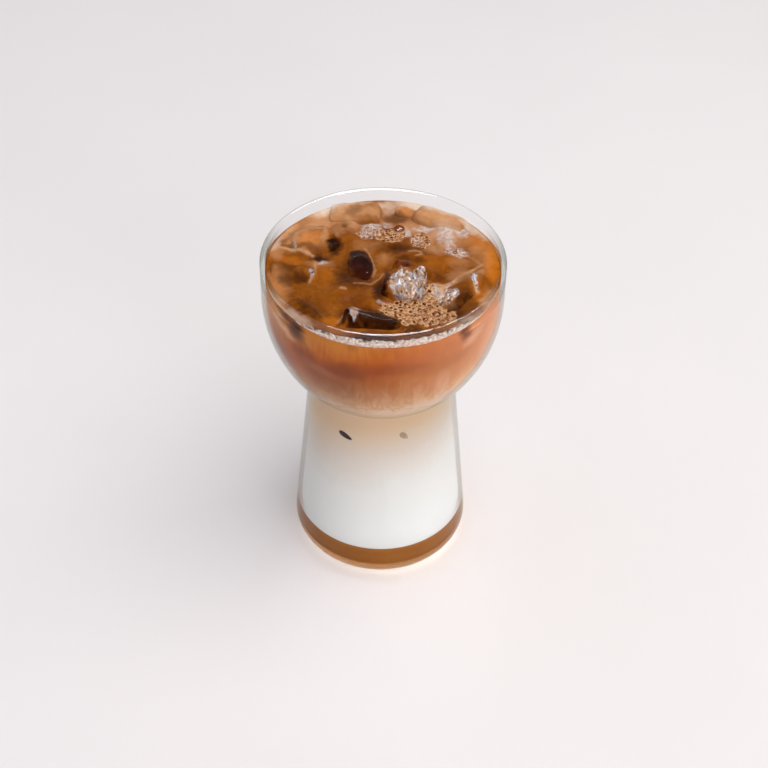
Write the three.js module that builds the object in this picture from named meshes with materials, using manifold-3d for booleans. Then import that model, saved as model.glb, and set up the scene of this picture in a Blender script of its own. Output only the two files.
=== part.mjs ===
// Iced caramel macchiato in a waisted glass: caramel syrup, milk, coffee and the ice that floats in it.
// Millimetres, +Z up, origin at the middle of the glass's foot, on the surface that it stands on.

import * as THREE from 'three';
import { ConvexGeometry } from 'three/addons/geometries/ConvexGeometry.js';
import { mergeVertices } from 'three/addons/utils/BufferGeometryUtils.js';
import Module from 'manifold-3d';

const wasm = await Module();
wasm.setup();

// Driving dimensions of the glass
const HEIGHT = 133.3;
const RIM_RADIUS = 43.0;
const RIM_BEAD = 1.05;        // radius of the fire-polished edge
const BOWL_RADIUS = 43.2;     // where the bowl is widest
const BOWL_CENTRE = 118.4;    // height of that widest ring
const BOWL_DEPTH = 48.5;      // half axis of the bowl's ellipse, downwards
const WAIST_RADIUS = 27.1;
const WAIST_ROUND = 1.6;      // radius inside the crease between bowl and skirt
const FOOT_RADIUS = 35.2;     // the skirt's slope carried down to the floor
const HEEL_ROUND = 8.0;

// Driving dimensions of the inside
const WALL = 2.0;             // in the bowl's side
const BOWL_BOTTOM_WALL = 2.2;
const WAIST_WALL = 2.6;
const SKIRT_WALL = 2.3;
const FLOOR = 4.0;
const INNER_HEEL_ROUND = 6.5;
const INNER_WAIST_ROUND = 5.0;

// Driving dimensions of the drink
const SYRUP_LEVEL = 15.4;
const MILK_LEVEL = 84.0;
const COFFEE_LEVEL = 127.5;
const MENISCUS = 1.4;         // how far the coffee and its froth climb the wall
const MENISCUS_WIDTH = 3.0;
const GAP = 0.3;              // between touching pieces

const SIDES = 56;             // facets round the glass
const BOWL_STEPS = 7;
const HEEL_STEPS = 4;
const WAIST_STEPS = 2;
const BEAD_STEPS = 4;
const SURFACE_STEP = 3.6;     // grid step of the coffee's top
const DEGREE = Math.PI / 180;

// Ice. at: centre, size: edges before melting, turn: degrees about X, Y and Z, melt: 0 boxy to 1 round
const ICE = {
  ice_peak: { at: [7.0, -10.2, 124.2], size: [16, 17.5, 14.5], turn: [-8, 6, -9], melt: 0.32, rough: 0.7 },
  ice_right: { at: [26.0, -12.0, 121.4], size: [17, 24, 15], turn: [4, -28, -34], melt: 0.3, rough: 0.5 },
  ice_oval: { at: [-8.2, 1.4, 122.8], size: [12, 25, 14], turn: [0, 4, 6], melt: 0.8, rough: 0.2 },
  ice_back_left: { at: [-24.6, 15.2, 122.6], size: [19.5, 18.5, 16], turn: [6, -5, 18], melt: 0.6, rough: 0.3 },
  ice_left: { at: [-32.0, -4.0, 121.8], size: [17, 13, 15], turn: [-52, 3, -8], melt: 0.3, rough: 0.4 },
  ice_front_left: { at: [-26.8, -25.6, 121.8], size: [20, 13, 13], turn: [12, 4, -45], melt: 0.4, rough: 0.4 },
  ice_front: { at: [-3.8, -28.4, 122.4], size: [21, 15, 14], turn: [-38, 8, -10], melt: 0.25, rough: 0.4 },
  ice_front_right: { at: [10.6, -33.5, 124.0], size: [9, 7, 9], turn: [-14, -8, 16], melt: 0.45, rough: 0.3 },
  ice_back_slab: { at: [-10.0, 31.8, 124.2], size: [20, 11, 14], turn: [10, -7, -6], melt: 0.3, rough: 0.4 },
  ice_back_chip: { at: [7.6, 34.0, 125.0], size: [9, 7, 9], turn: [6, 8, -10], melt: 0.55, rough: 0.3 },
  ice_back_right: { at: [20.4, 28.8, 123.8], size: [21, 10.5, 13], turn: [8, 6, -26], melt: 0.35, rough: 0.4 },
  ice_right_chip: { at: [27.6, -28.6, 124.6], size: [6.5, 5.5, 7.5], turn: [0, 12, 44], melt: 0.5, rough: 0.2 },
};

// Crags of frosted ice that stand on the tallest block: centre and size
const PEAK_CRAGS = [
  { at: [6.4, -2.6, 128.2], size: [8, 6.5, 8.5], turn: [10, 20, 30], melt: 0.4, rough: 0.8 },
  { at: [13.2, -5.0, 128.0], size: [6, 8, 7.5], turn: [0, -18, -20], melt: 0.4, rough: 0.8 },
  { at: [5.0, -14.2, 127.6], size: [8, 5.5, 8], turn: [-22, 8, 10], melt: 0.4, rough: 0.8 },
];

// Coffee lying over ice just below the surface: middle, half widths, turn in degrees and height
const SWELLS = [
  { x: 11, y: 5, across: 9.5, along: 8, turn: 10, height: 2.0 },
  { x: 24, y: 6, across: 7, along: 6, turn: -20, height: 1.2 },
  { x: -13, y: -12, across: 9, along: 6, turn: 35, height: 1.4 },
  { x: -4, y: -17, across: 7, along: 6.5, turn: -30, height: 1.3 },
  { x: -19, y: -5, across: 5, along: 8, turn: 20, height: 1.2 },
  { x: -14, y: 20, across: 5, along: 9, turn: 25, height: 1.3 },
  { x: 2, y: 13, across: 8, along: 5, turn: 0, height: 1.0 },
  { x: 34, y: 10, across: 4, along: 9, turn: 10, height: 0.6 },
];

// Froth: rafts of small bubbles, as a middle, half widths and a count, and the larger single bubbles
const RAFTS = [
  { x: 11, y: -21, across: 12, along: 4.5, turn: 0, count: 11, smallest: 0.7, largest: 1.1 },
  { x: 0, y: 21, across: 8, along: 6, turn: 0, count: 8, smallest: 0.8, largest: 1.2 },
  { x: 23, y: 15, across: 5, along: 9, turn: 35, count: 6, smallest: 0.8, largest: 1.2 },
];
const BUBBLES = [
  { x: 18.4, y: -25.0, radius: 1.8 },
  { x: 14.3, y: -27.6, radius: 1.1 },
  { x: 21.4, y: -26.6, radius: 0.9 },
  { x: 7.0, y: 21.0, radius: 2.4 },
  { x: 1.5, y: 22.0, radius: 1.6 },
  { x: 11.0, y: 6.8, radius: 1.2 },
];
const BUBBLE_SINK = 0.35;     // share of a bubble's radius that its middle lies below the surface
const BUBBLE_SPACING = 0.2;   // least room between two bubbles
const BUBBLE_COLUMNS = 7;
const BUBBLE_ROWS = 4;
const RAFT_TRIES = 40;        // places tried for each bubble of a raft
const SWELL_SHAPE = 0.7;      // under 1 gives a swell a flatter top and steeper sides
const ICE_WEAR = 0.12;        // deepest wear of the roughest ice, as a share of its half width
const ICE_ROWS = [-75, -45, -15, 15, 45, 75];
const ICE_COLUMNS = 10;

// A small seeded random source, so that each build gives the same drink
function seeded(seed) {
  let state = seed;
  return () => {
    state = (state * 1664525 + 1013904223) % 4294967296;
    return state / 4294967296;
  };
}

// Geometry to a solid that can be cut, and back
function toSolid(geometry) {
  const bare = geometry.clone();
  bare.deleteAttribute('normal');
  bare.deleteAttribute('uv');
  const merged = mergeVertices(bare, 1e-4);
  const corners = merged.index.array;
  const triangles = [];
  for (let i = 0; i < corners.length; i += 3) {
    const [a, b, c] = [corners[i], corners[i + 1], corners[i + 2]];
    if (a !== b && b !== c && c !== a) triangles.push(a, b, c);
  }
  return new wasm.Manifold(new wasm.Mesh({
    numProp: 3,
    vertProperties: new Float32Array(merged.attributes.position.array),
    triVerts: new Uint32Array(triangles),
  }));
}

function toGeometry(solid) {
  const mesh = solid.getMesh();
  const geometry = new THREE.BufferGeometry();
  geometry.setAttribute('position', new THREE.BufferAttribute(mesh.vertProperties, 3));
  geometry.setIndex(new THREE.BufferAttribute(mesh.triVerts, 1));
  geometry.computeVertexNormals();
  return geometry;
}

// The largest body of a cut solid, without loose scraps
function mainBody(solid) {
  const bodies = solid.decompose();
  return bodies.reduce((largest, body) => (body.volume() > largest.volume() ? body : largest));
}

// Profiles: points of radius and height, from the axis at the foot up to the rim
function arc(radius, height, across, up, from, to, steps) {
  return Array.from({ length: steps + 1 }, (_, i) => {
    const angle = (from + (to - from) * i / steps) * DEGREE;
    return new THREE.Vector2(radius + across * Math.cos(angle), height + up * Math.sin(angle));
  });
}

// Rounds the corner b between a and c with an arc of the given radius
function roundedCorner(a, b, c, radius, steps) {
  const before = a.clone().sub(b).normalize();
  const after = c.clone().sub(b).normalize();
  const half = Math.acos(before.dot(after)) / 2;
  const centre = before.clone().add(after).normalize().multiplyScalar(radius / Math.sin(half)).add(b);
  const start = b.clone().addScaledVector(before, radius / Math.tan(half)).sub(centre);
  const end = b.clone().addScaledVector(after, radius / Math.tan(half)).sub(centre);
  const sweep = Math.atan2(start.cross(end), start.dot(end));
  return Array.from({ length: steps + 1 }, (_, i) =>
    start.clone().rotateAround(new THREE.Vector2(0, 0), sweep * i / steps).add(centre));
}

// The height at which the bowl's ellipse of the given half axes has this radius
function bowlHeight(radius, across, down) {
  return BOWL_CENTRE - down * Math.sqrt(1 - (radius / across) ** 2);
}

function bowlArc(across, down, fromRadius, steps) {
  const start = -Math.acos(fromRadius / across) / DEGREE;
  return arc(0, BOWL_CENTRE, across, down, start, 0, steps);
}

// One side of the wall from the axis up to the bowl's widest ring, with its heel and its waist rounded
function wallSide(foot, floor, heelRound, waist, waistRound, across, down) {
  const waistCorner = new THREE.Vector2(waist, bowlHeight(waist, across, down));
  const heelCorner = new THREE.Vector2(foot, floor);
  const bowl = bowlArc(across, down, waist, BOWL_STEPS).slice(1);
  return [
    new THREE.Vector2(0, floor),
    ...roundedCorner(new THREE.Vector2(0, floor), heelCorner, waistCorner, heelRound, HEEL_STEPS),
    ...roundedCorner(heelCorner, waistCorner, bowl[0], waistRound, WAIST_STEPS),
    ...bowl,
  ];
}

const outside = wallSide(
  FOOT_RADIUS, 0, HEEL_ROUND, WAIST_RADIUS, WAIST_ROUND, BOWL_RADIUS, BOWL_DEPTH);
const inside = wallSide(
  FOOT_RADIUS - SKIRT_WALL, FLOOR, INNER_HEEL_ROUND, WAIST_RADIUS - WAIST_WALL, INNER_WAIST_ROUND,
  BOWL_RADIUS - WALL, BOWL_DEPTH - BOWL_BOTTOM_WALL);
const bead = arc(RIM_RADIUS - RIM_BEAD, HEIGHT - RIM_BEAD, RIM_BEAD, RIM_BEAD, 0, 180, BEAD_STEPS);

// A solid turned round the Z axis from a profile
function turned(profile) {
  const geometry = new THREE.LatheGeometry(profile, SIDES);
  geometry.rotateX(Math.PI / 2);
  return toSolid(geometry);
}

// The profile moved off the wall, towards the drink
function inset(profile, distance) {
  return profile.map((point, i) => {
    const before = profile[Math.max(i - 1, 0)];
    const after = profile[Math.min(i + 1, profile.length - 1)];
    const along = after.clone().sub(before).normalize();
    return new THREE.Vector2(Math.max(point.x - along.y * distance, 0), point.y + along.x * distance);
  });
}

// All the room inside the glass up to the rim, clear of the wall
function room() {
  const wall = inset(inside, GAP);
  const top = new THREE.Vector2(BOWL_RADIUS - WALL - GAP, HEIGHT);
  return turned([...wall, top, new THREE.Vector2(0, HEIGHT)]);
}

function layer(low, high) {
  const width = 3 * RIM_RADIUS;
  const slab = new THREE.BoxGeometry(width, width, high - low);
  slab.translate(0, 0, (low + high) / 2);
  return toSolid(slab);
}

// How far up a swell, a bubble raft or another oval patch reaches at a point: 1 in its middle, 0 at its edge
function withinOval(x, y, oval) {
  const turn = oval.turn * DEGREE;
  const dx = x - oval.x;
  const dy = y - oval.y;
  const across = (dx * Math.cos(turn) + dy * Math.sin(turn)) / oval.across;
  const along = (dy * Math.cos(turn) - dx * Math.sin(turn)) / oval.along;
  return Math.max(0, 1 - across * across - along * along);
}

// Height of the coffee's surface: the level, coffee lying over sunk ice, and the climb at the wall
function coffeeHeight(x, y) {
  const swell = SWELLS.reduce((height, oval) =>
    Math.max(height, oval.height * withinOval(x, y, oval) ** SWELL_SHAPE), 0);
  const wall = (Math.hypot(x, y) - (BOWL_RADIUS - WALL - MENISCUS_WIDTH)) / MENISCUS_WIDTH;
  return COFFEE_LEVEL + swell + MENISCUS * Math.max(0, wall) ** 2;
}

function coffeeBelowSurface() {
  const width = 2 * RIM_RADIUS + SURFACE_STEP;
  const steps = Math.round(width / SURFACE_STEP);
  const depth = COFFEE_LEVEL - MILK_LEVEL - GAP;
  const block = new THREE.BoxGeometry(width, width, depth, steps, steps, 1);
  const points = block.attributes.position;
  for (let i = 0; i < points.count; i += 1) {
    const top = points.getZ(i) > 0;
    const height = top ? coffeeHeight(points.getX(i), points.getY(i)) : MILK_LEVEL + GAP;
    points.setZ(i, height);
  }
  return toSolid(block);
}

function bubble(x, y, radius) {
  const ball = new THREE.SphereGeometry(radius, BUBBLE_COLUMNS, BUBBLE_ROWS);
  ball.rotateX(Math.PI / 2);
  ball.translate(x, y, coffeeHeight(x, y) - radius * BUBBLE_SINK);
  return toSolid(ball);
}

// Bubbles of a raft, spread over its oval and kept a bubble apart
function raftBubbles(raft, random) {
  const placed = [];
  for (let tries = 0; placed.length < raft.count && tries < RAFT_TRIES * raft.count; tries += 1) {
    const reach = Math.max(raft.across, raft.along);
    const x = raft.x + (2 * random() - 1) * reach;
    const y = raft.y + (2 * random() - 1) * reach;
    const radius = raft.smallest + (raft.largest - raft.smallest) * random() ** 2;
    const free = placed.every((other) =>
      Math.hypot(x - other.x, y - other.y) > radius + other.radius + BUBBLE_SPACING);
    if (free && withinOval(x, y, raft) > 0) placed.push({ x, y, radius });
  }
  return placed;
}

// A melted ice block: the hull of points on a rounded box, unevenly worn. grow makes it larger all round
function iceBlock({ at, size, turn, melt, rough }, seed, grow = 0) {
  const random = seeded(seed);
  const round = (value) => Math.sign(value) * Math.abs(value) ** melt;
  const half = size.map((edge) => edge / 2 + grow);
  const points = [];
  for (const row of ICE_ROWS) {
    for (let column = 0; column < ICE_COLUMNS; column += 1) {
      const up = row * DEGREE;
      const about = 2 * Math.PI * (column + 0.5) / ICE_COLUMNS;
      const wear = 1 - rough * ICE_WEAR * random();
      points.push(new THREE.Vector3(
        half[0] * wear * round(Math.cos(up)) * round(Math.cos(about)),
        half[1] * wear * round(Math.cos(up)) * round(Math.sin(about)),
        half[2] * wear * round(Math.sin(up))));
    }
  }
  const block = new ConvexGeometry(points);
  block.rotateX(turn[0] * DEGREE);
  block.rotateY(turn[1] * DEGREE);
  block.rotateZ(turn[2] * DEGREE);
  block.translate(...at);
  return toSolid(block);
}

// A whole piece of ice, with its crags where it has them
function icePiece(name, seed, grow = 0) {
  const block = iceBlock(ICE[name], seed, grow);
  const crags = name === 'ice_peak' ? PEAK_CRAGS : [];
  return crags.reduce((piece, crag, i) => piece.add(iceBlock(crag, seed + i + 1, grow)), block);
}

const materials = {
  glass: { color: 0xdfe6e2, roughness: 0.05, metalness: 0, transparent: true, opacity: 0.35 },
  syrup: { color: 0x88551f, roughness: 0.2, metalness: 0 },
  milk: { color: 0xf2eeea, roughness: 0.4, metalness: 0 },
  coffee: { color: 0x9a5526, roughness: 0.3, metalness: 0 },
  ice: { color: 0xb99a86, roughness: 0.15, metalness: 0 },
};

const drink = new THREE.Group();

function place(name, solid, material) {
  const mesh = new THREE.Mesh(toGeometry(solid), new THREE.MeshStandardMaterial(materials[material]));
  mesh.name = name;
  drink.add(mesh);
}

const inner = room();

place('glass', turned([...outside, ...bead, ...inside.slice().reverse()]), 'glass');
place('caramel_syrup', inner.intersect(layer(0, SYRUP_LEVEL)), 'syrup');
place('milk', inner.intersect(layer(SYRUP_LEVEL + GAP, MILK_LEVEL)), 'milk');

// Each piece of ice is clear of the wall and of the pieces placed before it
const ICE_SEED = 11;
const iceNames = Object.keys(ICE);
const seedOf = (name) => ICE_SEED + 10 * iceNames.indexOf(name);
let taken = null;
for (const name of iceNames) {
  const whole = icePiece(name, seedOf(name)).intersect(inner);
  const free = taken ? mainBody(whole.subtract(taken)) : whole;
  place(name, free, 'ice');
  const reach = icePiece(name, seedOf(name), GAP);
  taken = taken ? taken.add(reach) : reach;
}

// The coffee with its froth, cut round the ice
const froth = seeded(7);
const bubbles = [...BUBBLES, ...RAFTS.flatMap((raft) => raftBubbles(raft, froth))];
const frothy = bubbles.reduce(
  (solid, { x, y, radius }) => solid.add(bubble(x, y, radius)), inner.intersect(coffeeBelowSurface()));
place('coffee', mainBody(frothy.intersect(inner).subtract(taken)), 'coffee');

export default drink;
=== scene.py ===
import math
import random

import bpy
import numpy as np
from mathutils import Matrix, Vector
from mathutils.bvhtree import BVHTree


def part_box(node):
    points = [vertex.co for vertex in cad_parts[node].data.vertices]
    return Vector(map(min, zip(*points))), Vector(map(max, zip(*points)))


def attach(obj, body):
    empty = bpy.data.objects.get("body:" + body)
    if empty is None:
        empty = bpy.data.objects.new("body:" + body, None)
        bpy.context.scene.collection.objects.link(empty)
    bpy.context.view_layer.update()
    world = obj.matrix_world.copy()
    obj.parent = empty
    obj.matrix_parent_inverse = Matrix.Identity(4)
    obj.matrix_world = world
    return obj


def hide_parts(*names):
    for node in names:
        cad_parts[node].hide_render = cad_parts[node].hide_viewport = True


# Iced caramel macchiato in a waisted glass. Metres, +Z up, origin under the middle of the glass's foot.

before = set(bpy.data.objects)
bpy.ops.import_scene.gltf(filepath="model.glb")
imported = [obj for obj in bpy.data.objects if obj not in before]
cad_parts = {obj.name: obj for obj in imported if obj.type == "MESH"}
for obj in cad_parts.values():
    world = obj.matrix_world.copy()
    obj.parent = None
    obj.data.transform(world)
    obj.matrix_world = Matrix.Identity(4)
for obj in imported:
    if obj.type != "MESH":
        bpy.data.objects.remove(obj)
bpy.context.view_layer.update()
MM = 0.001

# Dimensions of the glass, the same as those of its solid
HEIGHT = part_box("glass")[1].z
RIM_RADIUS = 43.0 * MM
RIM_BEAD = 1.05 * MM
BOWL_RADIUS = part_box("glass")[1].x
BOWL_CENTRE = 118.4 * MM
BOWL_DEPTH = 48.5 * MM
WAIST_RADIUS = 27.1 * MM
WAIST_ROUND = 1.6 * MM
FOOT_RADIUS = 35.2 * MM
HEEL_ROUND = 8.0 * MM
WALL = 2.0 * MM
INNER_RADIUS = BOWL_RADIUS - WALL
BOWL_BOTTOM_WALL = 2.2 * MM
WAIST_WALL = 2.6 * MM
SKIRT_WALL = 2.3 * MM
FLOOR = 4.0 * MM
INNER_HEEL_ROUND = 6.5 * MM
INNER_WAIST_ROUND = 5.0 * MM

# Levels of the drink, and how it meets the glass and the ice
SYRUP_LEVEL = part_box("caramel_syrup")[1].z
MILK_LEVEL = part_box("milk")[1].z
COFFEE_LEVEL = 127.5 * MM     # the coffee's top without its swells, ridges and climbs
DRINK_REACH = 0.15 * MM       # how far the drink reaches into the wall, so that no air shows between them
MENISCUS = 0.5 * MM           # how far the coffee climbs the wall, and over what width
MENISCUS_WIDTH = 3.0 * MM
CLIMB = 0.45 * MM             # how far it climbs the ice, and over what width
CLIMB_WIDTH = 1.3 * MM

# Fineness of the meshes
SIDES = 192
COFFEE_SIDES = 384
FROTH_RING_SIDES = 900
WALL_STEP = 3 * MM            # between the rings of the glass's wall
LAYER_STEP = 1.5 * MM         # of the syrup's and the milk's
COFFEE_STEP = 2 * MM          # of the coffee's sides
SURFACE_STEP = 0.5 * MM       # and of the coffee's top
HEEL_STEPS = 14
WAIST_STEPS = 8
BOWL_STEPS = 40
BEAD_STEPS = 14
LEVEL = 0.01 * MM             # heights that differ by less than this are the same
SAME_POINT = 0.001 * MM       # points closer than this are joined
SAME_CAD_POINT = 0.01 * MM

# Sharpest edges that are shaded as round, in degrees
LAYER_CREASE = 40
COFFEE_CREASE = 50
CRUSHED_CREASE = 20


# Small tools

def deselect():
    if bpy.context.object and bpy.context.object.mode != "OBJECT":
        bpy.ops.object.mode_set(mode="OBJECT")
    bpy.ops.object.select_all(action="DESELECT")


def only(piece):
    deselect()
    piece.select_set(True)
    bpy.context.view_layer.objects.active = piece


def apply_modifier(piece, kind, **settings):
    modifier = piece.modifiers.new(kind.lower(), kind)
    for name, value in settings.items():
        setattr(modifier, name, value)
    only(piece)
    bpy.ops.object.modifier_apply(modifier=modifier.name)


def tidy_mesh(piece, distance=SAME_POINT):
    only(piece)
    bpy.ops.object.mode_set(mode="EDIT")
    bpy.ops.mesh.select_all(action="SELECT")
    bpy.ops.mesh.remove_doubles(threshold=distance)
    bpy.ops.mesh.normals_make_consistent(inside=False)
    bpy.ops.object.mode_set(mode="OBJECT")


def smooth(piece, angle=None):
    only(piece)
    if angle is None:
        bpy.ops.object.shade_smooth()
    else:
        bpy.ops.object.shade_smooth_by_angle(angle=math.radians(angle))


def points_of(piece):
    points = np.empty(len(piece.data.vertices) * 3)
    piece.data.vertices.foreach_get("co", points)
    return points.reshape(-1, 3)


def set_points(piece, points):
    piece.data.vertices.foreach_set("co", points.astype(np.float32).ravel())
    piece.data.update()


def set_attribute(piece, name, values):
    attributes = piece.data.attributes
    attribute = attributes.get(name) or attributes.new(name, "FLOAT", "POINT")
    attribute.data.foreach_set("value", values.astype(np.float32))


def dress(piece, material):
    piece.data.materials.clear()
    piece.data.materials.append(material)


def keep(piece, slot, *nodes):
    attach(piece, "root")
    if nodes:
        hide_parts(*nodes)


# Profiles: points of radius and height, from the axis up the wall

def arc(radius, height, across, up, start, end, steps):
    """Part of an ellipse round (radius, height), from one angle in degrees to another."""
    angles = [math.radians(start + (end - start) * i / steps) for i in range(steps + 1)]
    return [Vector((radius + across * math.cos(a), height + up * math.sin(a))) for a in angles]


def rounded_corner(a, b, c, radius, steps):
    """The corner b of a line from a to c, as an arc."""
    before = (a - b).normalized()
    after = (c - b).normalized()
    half = before.angle(after) / 2
    centre = b + (before + after).normalized() * (radius / math.sin(half))
    start = b + before * (radius / math.tan(half)) - centre
    end = b + after * (radius / math.tan(half)) - centre
    sweep = math.atan2(start.x * end.y - start.y * end.x, start.dot(end))
    turns = [Matrix.Rotation(sweep * i / steps, 2) for i in range(steps + 1)]
    return [centre + turn @ start for turn in turns]


def wall_side(foot, floor, heel_round, waist, waist_round, across, down):
    """One face of the glass, from the middle of its floor round the heel, up the skirt and round the waist to
    the bowl, whose ellipse reaches across and down from BOWL_CENTRE."""
    waist_corner = Vector((waist, BOWL_CENTRE - down * math.sqrt(1 - (waist / across) ** 2)))
    heel_corner = Vector((foot, floor))
    start = -math.degrees(math.acos(waist / across))
    bowl = arc(0, BOWL_CENTRE, across, down, start, 0, BOWL_STEPS)[2:]
    return [
        Vector((0, floor)),
        *rounded_corner(Vector((0, floor)), heel_corner, waist_corner, heel_round, HEEL_STEPS),
        *rounded_corner(heel_corner, waist_corner, bowl[0], waist_round, WAIST_STEPS),
        *bowl,
    ]


def moved_out(profile, distance):
    """The profile moved off its own line, away from the axis."""
    moved = []
    for i, point in enumerate(profile):
        along = (profile[min(i + 1, len(profile) - 1)] - profile[max(i - 1, 0)]).normalized()
        moved.append(Vector((max(point.x + along.y * distance, 0), point.y - along.x * distance)))
    moved[0].x = 0
    return moved


def radius_at(profile, height):
    """The radius of the wall at a height. The profile's first point, on the axis, is no part of the wall."""
    heights = [point.y for point in profile[1:]]
    return float(np.interp(height, heights, [point.x for point in profile[1:]]))


def part_between(profile, low, high, step):
    """The wall between two heights, with the heights themselves as its ends."""
    between = [point for point in profile[1:] if low + step / 4 < point.y < high - step / 4]
    rows = [Vector((radius_at(profile, low), low)), *between, Vector((radius_at(profile, high), high))]
    filled = [rows[0]]
    for point in rows[1:]:
        gap = point - filled[-1]
        count = max(1, math.ceil(gap.length / step))
        start = filled[-1]
        filled.extend(start + gap * (i + 1) / count for i in range(count))
    return filled


def turned(name, profile, sides):
    """A solid turned round the Z axis from a profile drawn point by point."""
    deselect()
    bpy.ops.mesh.primitive_plane_add(size=MM)
    piece = bpy.context.object
    piece.name = name
    bpy.ops.object.mode_set(mode="EDIT")
    bpy.ops.mesh.merge(type="CENTER")
    place = Vector((profile[0].x, 0, profile[0].y))
    bpy.ops.transform.translate(value=place)
    for point in profile[1:]:
        step = Vector((point.x, 0, point.y)) - place
        bpy.ops.mesh.extrude_vertices_move(TRANSFORM_OT_translate={"value": step})
        place += step
    bpy.ops.mesh.select_all(action="SELECT")
    bpy.ops.mesh.spin(steps=sides, angle=2 * math.pi, center=(0, 0, 0), axis=(0, 0, 1))
    bpy.ops.object.mode_set(mode="OBJECT")
    tidy_mesh(piece)
    return piece


OUTSIDE = wall_side(
    FOOT_RADIUS, 0, HEEL_ROUND, WAIST_RADIUS, WAIST_ROUND, BOWL_RADIUS, BOWL_DEPTH)
INSIDE = wall_side(
    FOOT_RADIUS - SKIRT_WALL, FLOOR, INNER_HEEL_ROUND, WAIST_RADIUS - WAIST_WALL, INNER_WAIST_ROUND,
    INNER_RADIUS, BOWL_DEPTH - BOWL_BOTTOM_WALL)
BEAD = arc(RIM_RADIUS - RIM_BEAD, HEIGHT - RIM_BEAD, RIM_BEAD, RIM_BEAD, 0, 180, BEAD_STEPS)
WET = moved_out(INSIDE + [Vector((INNER_RADIUS, HEIGHT))], DRINK_REACH)


# Colours and material nodes

def linear(colour):
    """An sRGB hex colour as the linear colour that the shaders take."""
    channels = [int(colour[i:i + 2], 16) / 255 for i in (1, 3, 5)]
    return [c / 12.92 if c <= 0.04045 else ((c + 0.055) / 1.055) ** 2.4 for c in channels] + [1]


def set_stops(bar, stops):
    """Sets a colour ramp's stops, each a place from 0 to 1 and an sRGB hex colour."""
    for element, (place, colour) in zip(bar.elements, (stops[0], stops[-1])):
        element.position = place
        element.color = linear(colour)
    for place, colour in stops[1:-1]:
        bar.elements.new(place).color = linear(colour)


def add(tree, kind, settings=None, output=0):
    """Adds a node and gives one of its outputs. Each setting is a property, or an input by its name or
    number, and an input takes a value, an sRGB hex colour or another node's output."""
    node = tree.nodes.new("ShaderNode" + kind)
    for name, value in (settings or {}).items():
        if name == "stops":
            set_stops(node.color_ramp, value)
        elif isinstance(value, bpy.types.NodeSocket):
            tree.links.new(value, node.inputs[name])
        elif isinstance(name, int) or name in node.inputs:
            node.inputs[name].default_value = linear(value) if isinstance(value, str) else value
        else:
            setattr(node, name, value)
    return node.outputs[output]


# The inputs and the output that a Mix node uses for colours
SHARE, FIRST, SECOND, MIXED = 0, 6, 7, 2


def new_material(name):
    """A new material, with its node tree and the place on the object that its patterns follow."""
    material = bpy.data.materials.new(name)
    material.use_nodes = True
    tree = material.node_tree
    tree.nodes.remove(tree.nodes["Principled BSDF"])
    return material, tree, add(tree, "TexCoord", output="Object")


def show(tree, shader):
    tree.links.new(shader, tree.nodes["Material Output"].inputs["Surface"])


def swing(tree, pattern, amount):
    """A pattern from 0 to 1 as a swing to both sides of nothing, by half the amount."""
    centred = add(tree, "Math", {"operation": "SUBTRACT", 0: pattern, 1: 0.5})
    return add(tree, "Math", {"operation": "MULTIPLY", 0: centred, 1: amount})


def uneven(tree, place, name, size=2.5, amount=0.7):
    """An attribute with its edges broken up by noise. size is the noise's, in mm."""
    value = add(tree, "Attribute", {"attribute_name": name}, "Fac")
    lumps = add(tree, "TexNoise", {"Vector": place, "Scale": 1 / (size * MM), "Detail": 3, "Roughness": 0.6})
    strength = add(tree, "Math", {"operation": "MULTIPLY", 0: value, 1: amount})
    moved = add(tree, "Math", {"operation": "ADD", 0: value, 1: swing(tree, lumps, strength)})
    return add(tree, "Math", {"operation": "MAXIMUM", 0: moved, 1: 0.0})


def patchy(tree, place, name, size, amount, low, high):
    """An attribute with broken edges, from nothing where it is below low to whole where it is above high."""
    return add(tree, "MapRange", {
        "interpolation_type": "SMOOTHSTEP", "Value": uneven(tree, place, name, size, amount),
        "From Min": low, "From Max": high})


def laid_over(tree, colour, layers):
    """A colour with others laid over it, each with the share that it covers."""
    for share, tone in layers:
        colour = add(tree, "Mix", {"data_type": "RGBA", SHARE: share, FIRST: colour, SECOND: tone}, MIXED)
    return colour


def lets_light_through(tree, shader, tint):
    """Lamps shine through the shader, tinted, as they do through real glass and ice."""
    rays = add(tree, "LightPath", output="Is Shadow Ray")
    clear = add(tree, "BsdfTransparent", {"Color": tint})
    return add(tree, "MixShader", {0: rays, 1: shader, 2: clear})


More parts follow.
